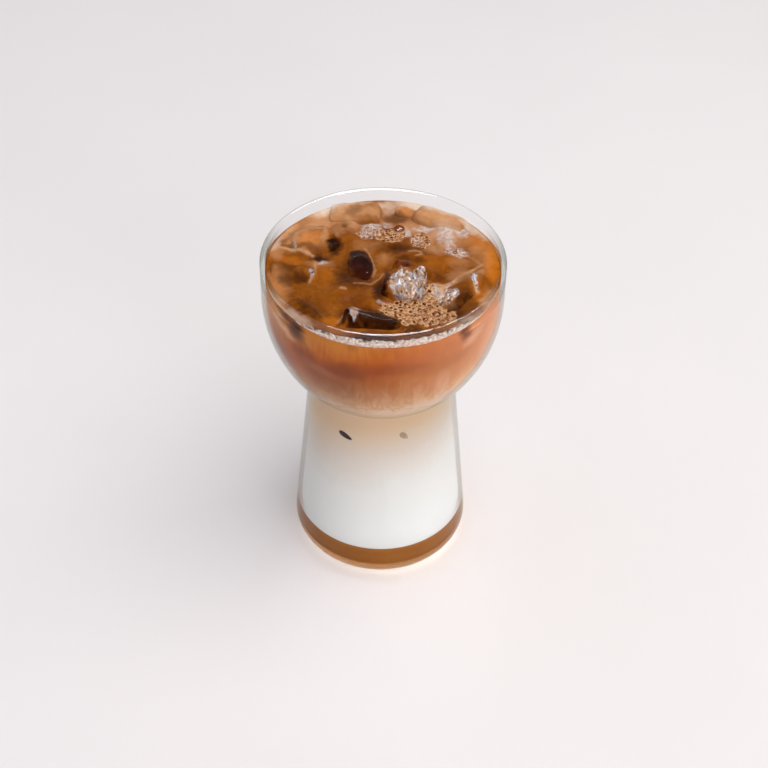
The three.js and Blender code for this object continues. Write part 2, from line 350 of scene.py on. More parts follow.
# Soda-lime glass, blown and fire-polished: clear, and greyish green where it is seen edge on. Its dry wall
# and its inner face bend next to nothing. Its outer face up to the drink's level bends light as solid glass
def soda_lime_glass():
    material, tree, place = new_material("soda_lime_glass")
    facing = add(tree, "LayerWeight", {"Blend": 0.5}, "Facing")
    height = add(tree, "SeparateXYZ", {"Vector": place}, "Z")
    dry = add(tree, "MapRange", {
        "interpolation_type": "SMOOTHSTEP", "Value": height,
        "From Min": COFFEE_LEVEL - 1.5 * MM, "From Max": COFFEE_LEVEL - 0.5 * MM})
    edge_on = add(tree, "Mix", {"data_type": "RGBA", SHARE: dry, FIRST: "#d2d4ce", SECOND: "#98a094"}, MIXED)
    slant = add(tree, "MapRange", {
        "interpolation_type": "SMOOTHERSTEP", "Value": facing, "From Min": 0.45, "From Max": 1.0})
    tint = add(tree, "Mix", {"data_type": "RGBA", SHARE: slant, FIRST: "#fefefe", SECOND: edge_on}, MIXED)
    clear = add(tree, "BsdfTransparent", {"Color": tint})
    gloss = add(tree, "BsdfGlossy", {"Color": "#ffffff", "Roughness": 0.06})
    grazing = add(tree, "Math", {"operation": "POWER", 0: facing, 1: 5})
    mirrored = add(tree, "MapRange", {"Value": grazing, "To Min": 0.025, "To Max": 0.6})
    thin = add(tree, "MixShader", {0: mirrored, 1: clear, 2: gloss})
    solid = add(tree, "BsdfPrincipled", {
        "Base Color": "#f9fcfa", "Roughness": 0.0, "IOR": 1.5, "Transmission Weight": 1.0,
        "Specular Tint": "#b0b0b0"})
    edge = add(tree, "MapRange", {
        "interpolation_type": "SMOOTHSTEP", "Value": facing, "From Min": 0.6, "From Max": 0.9, "To Max": 0.7})
    inner_face = add(tree, "Attribute", {"attribute_name": "inner_face"}, "Fac")
    outside = add(tree, "Math", {"operation": "MAXIMUM", 0: dry, 1: edge})
    share = add(tree, "Math", {"operation": "MAXIMUM", 0: inner_face, 1: outside})
    surface = add(tree, "MixShader", {0: share, 1: solid, 2: thin})
    show(tree, lets_light_through(tree, surface, "#f4f8f6"))
    return material


# Caramel syrup: thick amber sugar, with a painted glow at the bottom: emission that stands in for the light
# that the glass's foot gathers from the table
def caramel():
    material, tree, place = new_material("caramel_syrup")
    height = add(tree, "SeparateXYZ", {"Vector": place}, "Z")
    depth = add(tree, "MapRange", {"Value": height, "From Min": FLOOR, "From Max": SYRUP_LEVEL})
    layers = add(tree, "ValToRGB", {
        "Fac": depth, "stops": [(0, "#b87a34"), (0.3, "#9a5a10"), (0.8, "#8e5008"), (1, "#9a5f22")]})
    lumps = add(tree, "TexNoise", {"Vector": place, "Scale": 1 / (9 * MM), "Detail": 3})
    thick = add(tree, "MapRange", {
        "interpolation_type": "SMOOTHSTEP", "Value": lumps, "From Min": 0.35, "From Max": 0.75,
        "To Max": 0.3})
    colour = add(tree, "Mix", {"data_type": "RGBA", SHARE: thick, FIRST: layers, SECOND: "#a8660f"}, MIXED)
    # Painted light: the syrup's bottom glows, as emission, in place of the light that the foot gathers
    glow = add(tree, "MapRange", {
        "interpolation_type": "SMOOTHSTEP", "Value": height, "From Min": FLOOR - 0.5 * MM,
        "From Max": FLOOR + 3 * MM, "To Min": 0.45, "To Max": 0})
    show(tree, add(tree, "BsdfPrincipled", {
        "Base Color": colour, "Roughness": 0.3, "IOR": 1.46, "Specular IOR Level": 0.0,
        "Subsurface Weight": 0.15, "Subsurface Scale": 1.5 * MM, "Subsurface Radius": (1.0, 0.45, 0.12),
        "Emission Color": "#d9a368", "Emission Strength": glow}))
    return material


# The drink's colour by height in mm: white milk, then more and more coffee
DRINK_COLOURS = [
    (15, "#e4e2e2"), (46, "#e0dcda"), (62, "#d8cac0"), (76, "#dabc9c"), (88, "#e4c2a6"), (94, "#dab090"),
    (98, "#ca9664"), (104, "#b47440"), (111, "#a85c1e"), (117, "#a04a12"), (122, "#b0560c"), (129, "#c07426"),
]
TILT = 0.2                    # the milk stands higher on the right, by this much for each length along X


def drink_by_height(tree, place, sway, streaks):
    """The drink's colour, whose layers drift by half of sway up and down, under upright streaks."""
    drift = add(tree, "TexNoise", {
        "Vector": place, "Scale": 1 / (22 * MM), "Detail": 3, "Roughness": 0.55, "Distortion": 0.6})
    upright = add(tree, "Mapping", {"Vector": place, "Scale": (1, 1, 0.2)})
    wisps = add(tree, "TexNoise", {
        "Vector": upright, "Scale": 1 / (2.6 * MM), "Detail": 5, "Roughness": 0.65, "Distortion": 1.2})
    height = add(tree, "SeparateXYZ", {"Vector": place}, "Z")
    along = add(tree, "SeparateXYZ", {"Vector": place}, "X")
    rise = add(tree, "Math", {"operation": "MULTIPLY", 0: along, 1: TILT})
    tilted = add(tree, "Math", {"operation": "SUBTRACT", 0: height, 1: rise})
    moved = add(tree, "Math", {
        "operation": "ADD", 0: swing(tree, drift, sway), 1: swing(tree, wisps, streaks)})
    swayed = add(tree, "Math", {"operation": "ADD", 0: tilted, 1: moved})
    low, high = DRINK_COLOURS[0][0], DRINK_COLOURS[-1][0]
    level = add(tree, "MapRange", {"Value": swayed, "From Min": low * MM, "From Max": high * MM})
    stops = [((height_in_mm - low) / (high - low), colour) for height_in_mm, colour in DRINK_COLOURS]
    return add(tree, "ValToRGB", {"Fac": level, "stops": stops})


# Milk: an even white liquid that light sinks into, browning upwards where coffee has drifted down
def milk():
    material, tree, place = new_material("milk")
    show(tree, add(tree, "BsdfPrincipled", {
        "Base Color": drink_by_height(tree, place, 10 * MM, 6 * MM), "Roughness": 0.4, "IOR": 1.35,
        "Specular IOR Level": 0.0, "Subsurface Weight": 0.5, "Subsurface Scale": 3 * MM,
        "Subsurface Radius": (1.0, 0.85, 0.7)}))
    return material


# Milky coffee against the wall: the glass gives it its gloss, ice shows dark through it in places, painted
# light makes its upper right brighter, and painted shade darkens its left
def milky_coffee_at_the_wall():
    material, tree, place = new_material("milky_coffee_at_the_wall")
    layers = drink_by_height(tree, place, 10 * MM, 19 * MM)
    along = add(tree, "SeparateXYZ", {"Vector": place}, "X")
    height = add(tree, "SeparateXYZ", {"Vector": place}, "Z")
    # Painted light: brighter towards the right above the bowl's bottom, where the window lights it
    rightwards = add(tree, "MapRange", {"Value": along, "From Min": 0, "From Max": 36 * MM, "To Max": 0.6})
    upwards = add(tree, "MapRange", {
        "interpolation_type": "SMOOTHSTEP", "Value": height, "From Min": 96 * MM, "From Max": 108 * MM})
    lit_from_the_right = add(tree, "Math", {"operation": "MULTIPLY", 0: rightwards, 1: upwards})
    colour = laid_over(tree, layers, [
        (lit_from_the_right, "#e6a070"), (uneven(tree, place, "pale_wall", 4), "#dba98a"),
        (uneven(tree, place, "hollow", 4), "#4a1c0c")])
    show(tree, add(tree, "BsdfPrincipled", {
        "Base Color": colour, "Roughness": 0.4, "IOR": 1.34, "Specular IOR Level": 0.0,
        "Subsurface Weight": 0.15, "Subsurface Scale": 1.5 * MM, "Subsurface Radius": (1.0, 0.5, 0.25)}))
    return material


def coffee_brown(tree, place):
    """The colour of the coffee's top: swirling browns, with glows of painted light, painted shades and pale
    places painted on it.
    """
    swirls = add(tree, "TexNoise", {
        "Vector": place, "Scale": 1 / (15 * MM), "Detail": 4, "Roughness": 0.55, "Distortion": 1.6})
    fine = add(tree, "TexNoise", {
        "Vector": place, "Scale": 1 / (3 * MM), "Detail": 5, "Roughness": 0.65, "Distortion": 1.2})
    folds = add(tree, "MapRange", {"Value": swirls, "From Min": 0.3, "From Max": 0.72})
    colour = add(tree, "ValToRGB", {
        "Fac": folds, "stops": [(0, "#6e3708"), (0.45, "#86480b"), (0.8, "#945313"), (1, "#a16228")]})
    light = add(tree, "MapRange", {
        "interpolation_type": "SMOOTHSTEP", "Value": fine, "From Min": 0.5, "From Max": 0.78, "To Max": 0.35})
    dark = add(tree, "MapRange", {
        "interpolation_type": "SMOOTHSTEP", "Value": fine, "From Min": 0.25, "From Max": 0.5, "To Min": 0.4,
        "To Max": 0})
    # Painted light and shade: the glow is painted light coming through the coffee, the shade is painted
    # shade, and the pale lines are partly a painted highlight
    return laid_over(tree, colour, [
        (light, "#ad733a"), (dark, "#5c2b06"),
        (uneven(tree, place, "glow"), "#c66f16"), (uneven(tree, place, "blush"), "#cc9568"),
        (uneven(tree, place, "shade"), "#351504"), (uneven(tree, place, "haze", 5), "#e0c8b2"),
        (uneven(tree, place, "pale", 2, 2.2), "#cfa075")])


def froth_colours(tree, place, colour):
    """Tan froth full of dark round bubbles, each ringed by a painted highlight, and grey-white froth where it
    has dried, laid over a colour.
    """
    distance = add(tree, "TexVoronoi", {
        "voronoi_dimensions": "2D", "Vector": place, "Scale": 1 / (1.6 * MM), "Randomness": 1.0}, "Distance")
    draw = add(tree, "SeparateColor", {"Color": distance.node.outputs["Color"]})
    reach = add(tree, "MapRange", {"Value": draw, "To Min": 0.1, "To Max": 0.5})
    depth = add(tree, "Math", {"operation": "DIVIDE", 0: distance, 1: reach})
    bubbly = add(tree, "TexNoise", {"Vector": place, "Scale": 1 / (1.3 * MM), "Detail": 5, "Roughness": 0.75})
    thick = add(tree, "MapRange", {
        "interpolation_type": "SMOOTHSTEP", "Value": bubbly, "From Min": 0.38, "From Max": 0.62})
    film = add(tree, "Mix", {"data_type": "RGBA", SHARE: thick, FIRST: "#8a4f22", SECOND: "#dcae80"}, MIXED)
    inwards = add(tree, "MapRange", {"Value": depth, "From Min": 0, "From Max": 2})
    # Each hole's pale ring is a painted highlight on the bubble's rim
    hole_and_rim_highlight = add(tree, "ValToRGB", {"Fac": inwards, "stops": [
        (0, "#4a1f0a"), (0.34, "#66300f"), (0.45, "#7c4719"), (0.54, "#ecc69b"), (0.7, "#c08d5a")]})
    between = add(tree, "MapRange", {
        "interpolation_type": "SMOOTHSTEP", "Value": depth, "From Min": 1.05, "From Max": 1.6})
    web = add(tree, "Mix", {"data_type": "RGBA", SHARE: between, FIRST: hole_and_rim_highlight, SECOND: film}, MIXED)
    grain = add(tree, "TexNoise", {
        "Vector": place, "Scale": 1 / (1.6 * MM), "Detail": 5, "Roughness": 0.7, "Distortion": 0.6})
    white = add(tree, "ValToRGB", {
        "Fac": grain, "stops": [(0.3, "#a5836b"), (0.45, "#c4aca0"), (0.58, "#dad0ce"), (0.72, "#efebec")]})
    frost = add(tree, "MapRange", {
        "Value": uneven(tree, place, "frost", 2.2, 2.4), "From Min": 0.1, "From Max": 1.1, "To Max": 0.9})
    return laid_over(tree, colour, [
        (patchy(tree, place, "froth", 1.6, 1.6, 0.1, 0.6), web), (frost, white)])


# Milky coffee: brown and glossy, with paler swirls, thin pale lines round the ice that are partly a painted
# highlight, and patches of fine froth
def milky_coffee():
    material, tree, place = new_material("milky_coffee")
    ripples = add(tree, "TexNoise", {"Vector": place, "Scale": 1 / (5 * MM)})
    lumps = add(tree, "TexNoise", {
        "Vector": place, "Scale": 1 / (1.3 * MM), "Detail": 3, "Roughness": 0.65, "Distortion": 0.4})
    frost = add(tree, "Attribute", {"attribute_name": "frost"}, "Fac")
    froth = add(tree, "Attribute", {"attribute_name": "froth"}, "Fac")
    rough = add(tree, "Math", {"operation": "MAXIMUM", 0: frost, 1: froth})
    rough_lumps = add(tree, "Math", {"operation": "MULTIPLY", 0: lumps, 1: rough})
    relief = add(tree, "Math", {"operation": "ADD", 0: ripples, 1: rough_lumps})
    normal = add(tree, "Bump", {"Height": relief, "Distance": 0.5 * MM, "Strength": 0.6})
    show(tree, add(tree, "BsdfPrincipled", {
        "Base Color": froth_colours(tree, place, coffee_brown(tree, place)), "Normal": normal,
        "Roughness": 0.25, "IOR": 1.34, "Specular IOR Level": 0.12, "Subsurface Weight": 0.1,
        "Subsurface Scale": 1.2 * MM, "Subsurface Radius": (1.0, 0.5, 0.25)}))
    return material


# Coffee in the hollows round the ice: as brown as its top near the surface, and darker deeper down with
# painted shade
def deep_coffee_painted_shade():
    material, tree, place = new_material("deep_coffee_painted_shade")
    lumps = add(tree, "TexNoise", {"Vector": place, "Scale": 1 / (4 * MM), "Detail": 3})
    height = add(tree, "SeparateXYZ", {"Vector": place}, "Z")
    moved = add(tree, "Math", {"operation": "ADD", 0: height, 1: swing(tree, lumps, 6 * MM)})
    depth = add(tree, "MapRange", {
        "Value": moved, "From Min": COFFEE_LEVEL - 8 * MM, "From Max": COFFEE_LEVEL + 0.5 * MM})
    colour = add(tree, "ValToRGB", {
        "Fac": depth, "stops": [(0, "#4e1f0e"), (0.5, "#6c2c11"), (0.8, "#8a441a"), (1, "#a46026")]})
    show(tree, add(tree, "BsdfPrincipled", {
        "Base Color": colour, "Roughness": 0.4, "Specular IOR Level": 0.0}))
    return material


def crushed_white(tree, place):
    """The colour of crushed ice, with dark cracks, tan and grey faces and white edges, and its grain."""
    stretched = add(tree, "Mapping", {"Vector": place, "Scale": (1, 0.55, 0.55)})
    grain = add(tree, "TexNoise", {
        "Vector": stretched, "Scale": 1 / (1.5 * MM), "Detail": 6, "Roughness": 0.72, "Distortion": 0.9})
    tone = add(tree, "TexNoise", {"Vector": place, "Scale": 1 / (3 * MM)})
    cold = add(tree, "MapRange", {
        "interpolation_type": "SMOOTHSTEP", "Value": tone, "From Min": 0.46, "From Max": 0.6})
    faces = add(tree, "Mix", {"data_type": "RGBA", SHARE: cold, FIRST: "#ab8262", SECOND: "#9f979a"}, MIXED)
    solid = add(tree, "MapRange", {
        "interpolation_type": "SMOOTHSTEP", "Value": grain, "From Min": 0.38, "From Max": 0.47})
    sharp = add(tree, "MapRange", {
        "interpolation_type": "SMOOTHSTEP", "Value": grain, "From Min": 0.53, "From Max": 0.63})
    return laid_over(tree, "#43251a", [(solid, faces), (sharp, "#f3ece7")]), grain


# Melting ice: wet and clear in places, under a film of washed-over coffee elsewhere, and white where crushed
def melting_ice():
    material, tree, place = new_material("melting_ice")
    lumps = add(tree, "TexNoise", {
        "Vector": place, "Scale": 1 / (3 * MM), "Detail": 3, "Roughness": 0.6, "Distortion": 0.5})
    melted = add(tree, "Bump", {"Height": lumps, "Distance": 0.3 * MM, "Strength": 0.3})
    clear = add(tree, "BsdfPrincipled", {
        "Base Color": "#ecd8c0", "Roughness": 0.03, "IOR": 1.31, "Transmission Weight": 1.0,
        "Specular Tint": "#707070", "Normal": melted})
    washed = add(tree, "BsdfPrincipled", {
        "Base Color": coffee_brown(tree, place), "Roughness": 0.3, "IOR": 1.33, "Specular IOR Level": 0.08,
        "Normal": melted})
    clearness = patchy(tree, place, "clear", 2.5, 1.6, 0.05, 0.95)
    smooth_ice = add(tree, "MixShader", {0: clearness, 1: washed, 2: clear})
    white, grain = crushed_white(tree, place)
    crumpled = add(tree, "Bump", {"Height": grain, "Distance": 0.4 * MM, "Strength": 0.5})
    crushed = add(tree, "BsdfPrincipled", {
        "Base Color": white, "Roughness": 0.3, "IOR": 1.31, "Specular IOR Level": 0.3, "Normal": crumpled})
    frosted = patchy(tree, place, "frost", 1.6, 1.3, 0.15, 0.5)
    surface = add(tree, "MixShader", {0: frosted, 1: smooth_ice, 2: crushed})
    show(tree, lets_light_through(tree, surface, "#c0a684"))
    return material


# Froth: thin films of milky coffee, pale where they meet the coffee, clear and dark on top
def froth_film():
    material, tree, place = new_material("froth_film")
    pale = add(tree, "BsdfPrincipled", {"Base Color": "#d3a274", "Roughness": 0.25, "IOR": 1.33})
    clear = add(tree, "BsdfTransparent", {"Color": "#d9b48e"})
    gloss = add(tree, "BsdfGlossy", {"Color": "#ffffff", "Roughness": 0.08})
    film = add(tree, "MixShader", {0: 0.03, 1: clear, 2: gloss})
    rim = add(tree, "Attribute", {"attribute_name": "rim"}, "Fac")
    share = add(tree, "MapRange", {
        "interpolation_type": "SMOOTHSTEP", "Value": rim, "From Min": 0.55, "From Max": 0.95, "To Min": 0.05,
        "To Max": 0.9})
    show(tree, add(tree, "MixShader", {0: share, 1: film, 2: pale}))
    return material


# Froth left on the wall: small bubbles packed close in broken patches, almost white, with brown between them
def wall_froth():
    material, tree, place = new_material("wall_froth")
    grain = add(tree, "TexNoise", {"Vector": place, "Scale": 1 / (0.9 * MM), "Detail": 4, "Roughness": 0.75})
    colour = add(tree, "ValToRGB", {
        "Fac": grain, "stops": [(0.3, "#94654b"), (0.42, "#caa893"), (0.52, "#ead8cc"), (0.66, "#fffaf5")]})
    froth = add(tree, "BsdfPrincipled", {
        "Base Color": colour, "Roughness": 0.3, "IOR": 1.33, "Specular IOR Level": 0.2})
    clear = add(tree, "BsdfTransparent", {"Color": "#ffffff"})
    patches = add(tree, "TexNoise", {
        "Vector": place, "Scale": 1 / (1.3 * MM), "Detail": 5, "Roughness": 0.75})
    painted = add(tree, "Attribute", {"attribute_name": "cover"}, "Fac")
    covered = add(tree, "Math", {"operation": "ADD", 0: patches, 1: painted})
    cover = add(tree, "MapRange", {
        "interpolation_type": "SMOOTHSTEP", "Value": covered, "From Min": 0.84, "From Max": 0.96})
    show(tree, add(tree, "MixShader", {0: cover, 1: clear, 2: froth}))
    return material


# Ice seen through a film of milk: near black where it lies on the wall, or pale brown. Its two colours are
# mixed by noise, and on the pale tip the second is a painted cream highlight
def ice_behind_milk(name, dark, light):
    material, tree, place = new_material(name)
    lumps = add(tree, "TexNoise", {"Vector": place, "Scale": 1 / (1.2 * MM)})
    colour = add(tree, "Mix", {"data_type": "RGBA", SHARE: lumps, FIRST: dark, SECOND: light}, MIXED)
    show(tree, add(tree, "BsdfPrincipled", {
        "Base Color": colour, "Roughness": 0.3, "IOR": 1.31, "Specular IOR Level": 0.1}))
    return material


# Plaster: off-white, trowelled by hand
def plaster():
    material, tree, place = new_material("plaster_floor")
    clouds = add(tree, "TexNoise", {"Vector": place, "Scale": 1 / (120 * MM), "Detail": 4})
    colour = add(tree, "Mix", {
        "data_type": "RGBA", SHARE: clouds, FIRST: "#ebe8e8", SECOND: "#f1eded"}, MIXED)
    trowel = add(tree, "TexNoise", {"Vector": place, "Scale": 1 / (14 * MM), "Detail": 6, "Roughness": 0.6})
    normal = add(tree, "Bump", {"Height": trowel, "Distance": 1 * MM, "Strength": 0.12})
    show(tree, add(tree, "BsdfPrincipled", {
        "Base Color": colour, "Roughness": 0.8, "Specular IOR Level": 0.0, "Normal": normal}))
    return material


# The glass
HEEL_GAP = 0.1 * MM           # least height from the last point of a heel to the first of its wall


def heel_and_wall(profile, heel_top):
    """A face of the glass: its heel as drawn, and its wall in even steps."""
    heel = [point for point in profile if point.y < heel_top - HEEL_GAP]
    return heel + part_between(profile, heel_top, profile[-1].y, WALL_STEP)


def make_glass():
    rim = [Vector((RIM_RADIUS, HEIGHT - RIM_BEAD)), *BEAD[1:]]
    outer = heel_and_wall(OUTSIDE, HEEL_ROUND)
    inner = heel_and_wall(INSIDE, FLOOR + INNER_HEEL_ROUND)
    piece = turned("glass_clear", outer + rim + inner[::-1], SIDES)
    points = points_of(piece)
    radii = np.hypot(points[:, 0], points[:, 1])
    outsides = np.array([radius_at(OUTSIDE, height) for height in points[:, 2]])
    inside = (radii < outsides - WALL / 2) & (points[:, 2] > FLOOR / 2)
    set_attribute(piece, "inner_face", np.where(inside, 1.0, 0.0))
    smooth(piece)
    dress(piece, soda_lime_glass())
    keep(piece, "clear_glass", "glass")
    return piece


# The drink's layers
LOWEST_HEEL = FLOOR + 1 * MM  # up to here the lowest layer follows the heel point by point


def make_layer(name, low, high, material, slot, node):
    """A layer of the drink between two heights. One that starts below the floor rests on it."""
    if low < FLOOR:
        heel = [point for point in WET if point.y < LOWEST_HEEL]
        wall = heel + part_between(WET, heel[-1].y, high, LAYER_STEP)[1:]
    else:
        wall = [Vector((0, low)), *part_between(WET, low, high, LAYER_STEP)]
    piece = turned(name, [*wall, Vector((0, high))], SIDES)
    smooth(piece, LAYER_CREASE)
    dress(piece, material)
    keep(piece, slot, node)
    return piece


# Soft ovals on the drink's top: middle x and y and half widths in mm, turn in degrees, and amount. A swell's
# amount is its height in mm, and each other oval's is its strength from 0 to 1
SWELLS = [
    (11, 5, 9.5, 8, 10, 2.0), (24, 6, 7, 6, -20, 1.2), (-13, -12, 9, 6, 35, 1.4),
    (-4, -17, 7, 6.5, -30, 1.3), (-19, -5, 5, 8, 20, 1.2), (-14, 20, 5, 9, 25, 1.3), (2, 13, 8, 5, 0, 1.0),
    (34, 10, 4, 9, 10, 0.6), (-4, 23, 5, 4, 0, 1.4), (22, 22, 6, 4, 0, 1.5), (22, 15, 4, 6, 15, 1.2),
    (26, 9, 4.5, 3, -20, 1.2), (-13, 29, 3, 6, 30, 1.5), (20, 31, 12, 4, -15, 1.6), (18, -10, 4, 3, 0, 1.0),
    (35, -4, 3, 7, 0, 0.8),
]
FROTH = [
    (8, -22.5, 10.5, 5, 0, 1), (16, -16, 5, 8, 10, 1), (18, -25, 8, 5.5, -15, 1), (12, -28, 8, 3.5, 0, 1),
    (2.5, 19.5, 6, 5, 0, 1), (13.5, 16.5, 4, 5.5, 0, 0.8), (25.5, 9.5, 5, 3.5, 0, 0.5),
    (-6, 20.5, 4, 3.5, 0, 0.6),
]
FROST = [
    (-4.5, 24, 5, 4.8, 0, 1), (-6.5, 20, 4, 3.4, 0, 0.8), (1, 26, 4, 2, 0, 0.7), (14.5, 24, 5, 2.4, -10, 1),
    (22.5, 22.5, 3.6, 4.4, 0, 1), (28.5, 22.5, 4, 4, 0, 0.9), (22.5, 16.5, 4.2, 6, 15, 0.9),
    (26, 9.5, 5, 4, -20, 1), (-21.3, 3.4, 2.4, 1.7, 30, 1), (8.6, 22, 1.6, 4, 0, 1),
    (12, 17, 2.6, 5, 0, 0.5), (19.5, -14.5, 2.6, 7, 25, 0.9), (24, -9.5, 3.6, 2.8, 30, 0.8),
    (0, -19.5, 3, 1, 0, 0.6),
]
SHADES = [
    (-12, -6, 6.5, 8, 10, 0.75), (-7, -8.5, 4.5, 3.5, 0, 0.7), (6, 11.5, 11, 3.8, 0, 0.7),
    (2.5, 11, 3.4, 3, 0, 0.6), (-22.5, 5.2, 5.5, 2.1, 0, 0.95), (-17.2, 12, 3.2, 5.8, -10, 1),
    (-24.5, -22.5, 9.5, 4.4, -38, 0.5), (-12.5, -28, 2.4, 6, -25, 0.8), (28, -20, 5, 8, -8, 0.5),
    (24, -24.5, 4.5, 5, 0, 0.8), (-1.2, -13, 3, 9, 0, 0.95), (4, 30, 6, 3.4, 0, 0.6),
    (-14, 24.5, 1.3, 2.1, 20, 0.7), (12, 3, 3.6, 2.6, 0, 0.4), (-33, -2.5, 7.5, 3.6, -35, 0.6),
    (-28.5, -6.5, 4.5, 3.2, -20, 0.8), (-11, 31, 3.6, 3.6, 0, 0.4), (-2, -25.5, 15, 4, -4, 0.7),
    (-8.5, -1, 7, 13, 6, 0.75), (9, -30.5, 5, 3, 0, 0.5), (20, -4, 3, 2.4, 0, 0.4),
    (-30, 11.5, 10, 1.6, -14, 0.45), (15, 8, 4, 3, 0, 0.25), (-33, 20, 1.4, 8, -35, 0.35),
    (35, -8, 4, 6, 0, 0.3), (-3, -38, 14, 3.8, 0, 1), (14, -37, 10, 3.4, 20, 0.6),
    (-21, -34.5, 9, 2.6, -30, 0.5), (7.5, 4, 4, 2.5, 0, 0.6), (-30.5, -26, 7, 4, -42, 0.25),
    (28, -27.5, 6, 3, 42, 0.15), (-33.5, -7.5, 4, 4, -30, 0.6),
]
# Painted light: orange glows where light comes through the coffee near the wall and through the ice
PAINTED_GLOWS = [
    (38.5, 4, 3.8, 17, 0, 0.9), (34, 16.5, 5.5, 8, 20, 0.7), (17.5, 19, 4, 4, 0, 0.6),
    (-21, -3, 5, 8, 0, 0.3), (-37, -12, 4, 9, 20, 0.45), (-22, 27, 8, 5, 40, 0.4), (22, 5, 9, 6, 0, 0.25),
    (-16, -30, 6, 3, -30, 0.5), (7.5, 34.5, 5, 3.4, 0, 1), (-27, 14.5, 6, 5, 0, 0.95),
    (-33, 4.5, 7, 3, -20, 0.5), (34, -12, 4, 10, 0, 0.4),
]
BLUSHES = [
    (20, 29, 15, 4.4, -15, 0.9), (-7, 30, 11, 3.4, 0, 0.8), (-13.5, -13, 1.9, 1.1, 0, 0.8),
    (34, -2, 1.8, 2.6, 0, 0.6), (-32, 21, 7.5, 7, 20, 0.85), (27, 4, 5.5, 3.4, 0, 0.3),
    (-14, 33, 8, 5, 20, 0.95), (-38, 9, 3.4, 5.5, 0, 0.5), (38, 20, 3, 8, 25, 0.8),
    (-17, 22, 4.4, 5.5, 0, 0.4), (0, 6, 4, 4, 0, 0.25), (33, 11, 4, 5, 0, 0.4), (-20, 34, 7, 3, 40, 0.7),
    (-32.5, 15.5, 3, 4.5, 20, 0.8), (-33, 10.5, 8, 1.4, -14, 0.6), (19, -12, 4, 6, 30, 0.5),
    (-25, 20.5, 7, 2.2, -20, 0.7), (-21.2, 15, 1.8, 4.5, 0, 0.6), (-29, 8.8, 6, 1.2, -20, 0.5),
    (-22, 29, 12, 8, 30, 0.8), (-2, 33, 20, 9, 0, 0.45), (22, 20, 14, 12, 0, 0.5), (-30, 16, 10, 9, 0, 0.4),
    (12, 25, 9, 7, 0, 0.7), (28, -4, 7, 6, 0, 0.45), (-36, -10, 5, 12, 10, 0.35),
    (-36.5, -21, 4.5, 8, 30, 1), (37, -17, 4.4, 9, -20, 1), (-22, 3, 6, 4, 0, 0.35),
    (21, -21, 4, 5, 0, 0.4), (-12, 26, 8, 7, 0, 0.45), (-26, 13, 7, 5, 0, 0.3), (35, 8, 5, 12, 0, 0.25),
    (-6, 13, 6, 5, 0, 0.25), (19, 12, 7, 5, 0, 0.6),
]
HAZES = [
    (17, 36, 18, 5, -22, 1), (33, 24, 3, 10, 42, 0.7), (1, 38.5, 6, 3, 0, 0.6), (-20, 36, 9, 5.5, 28, 1),
    (29, -29, 9, 3.4, 42, 0.5), (-29, -28, 8, 3, -42, 0.4), (38, -18, 3, 9, -25, 0.5),
    (-38, -18, 3, 8, 25, 0.35), (-39, 14, 2.6, 6, -20, 0.5), (-10, 37, 9, 4, 5, 0.7),
    (22, 22, 7, 6, 0, 0.3), (3, 36, 6, 4, 0, 0.3),
]
# Thin pale lines where ice meets the coffee, partly a paler film and partly a painted highlight: corners in
# mm, half width in mm, and strength
PALE_LINES = [
    ([(-38, 12.5), (-33, 10.3), (-29, 9), (-25, 6.5)], 0.5, 0.6),
    ([(-10, -9.7), (-4, -8.7), (-1, -5.5), (0, -3)], 0.4, 0.4),
    ([(-6.8, 11.8), (-5, 8), (-3.9, 3.5), (-2.8, -1), (-3.5, -5)], 0.5, 0.4),
    ([(17, -9.5), (20, -10), (24, -7.5), (27, -4.5), (31, -0.5), (34.5, 2.5)], 0.6, 0.6),
    ([(34.5, 2.5), (31.5, 6.5), (28.5, 9)], 0.4, 0.35),
    ([(9, 8.5), (10.5, 9), (13, 8.2), (13.6, 6.5), (11.5, 5.6)], 0.45, 0.5),
    ([(-18.5, 32.5), (-14.5, 28), (-11, 25.5)], 1.3, 0.4),
    ([(-26.5, 26), (-22.8, 25), (-21, 21.5), (-21, 18)], 0.8, 0.5),
    ([(-15, -29.5), (-10.2, -22)], 0.45, 0.45),
    ([(31, -3), (31, -7), (32.3, -13)], 0.8, 0.9),
    ([(-24, 3), (-23.8, -3), (-25.5, -8.5)], 0.5, 0.5),
    ([(19, -13), (22, -9.5), (26, -8)], 0.9, 0.6),
    ([(17.5, -17), (20, -13), (21.5, -14)], 0.8, 0.7),
]
RIDGE = 0.45 * MM             # height above the coffee that a pale line of strength 1 would have
RIDGE_STRENGTH = 0.6          # no line stands higher than one of this strength

# Dark and pale places behind the wall where ice comes near it, and painted shade on the bowl's left side:
# angle in degrees and height in mm, half width in degrees, half height in mm, turn in degrees, and strength
WALL_SHADES = [
    (-142, 126.8, 12, 2.6, -12, 0.9), (-134, 125, 8, 4.6, -28, 1), (-48, 126, 5, 4.2, 25, 0.75),
    (-104, 126.4, 6, 0.9, 0, 0.8), (-108, 115, 14, 5.5, 0, 0.45), (-128, 116.5, 12, 5, -12, 0.4),
    (-90, 117.5, 30, 3, 0, 0.25), (-60, 116, 20, 3.5, 4, 0.15), (-114, 108, 18, 11, 0, 0.3),
    (-114, 98, 16, 7, 0, 0.15), (-150, 112, 14, 14, 0, 0.2),
]
WALL_PALES = [
    (-144, 122.5, 14, 1.6, -16, 0.8), (-43, 122, 9, 2.6, 16, 0.7), (-120, 112.5, 14, 2.4, -10, 0.15),
    (-60, 106, 5, 8, 0, 0.4), (-72, 103, 3, 7, 0, 0.35), (-88, 102, 4, 5, 0, 0.25),
    (-30, 114, 10, 8, 0, 0.3),
]

# Share of an oval over which it fades out
SOFT = 0.9
PATCHY = 0.5
BROKEN = 0.6

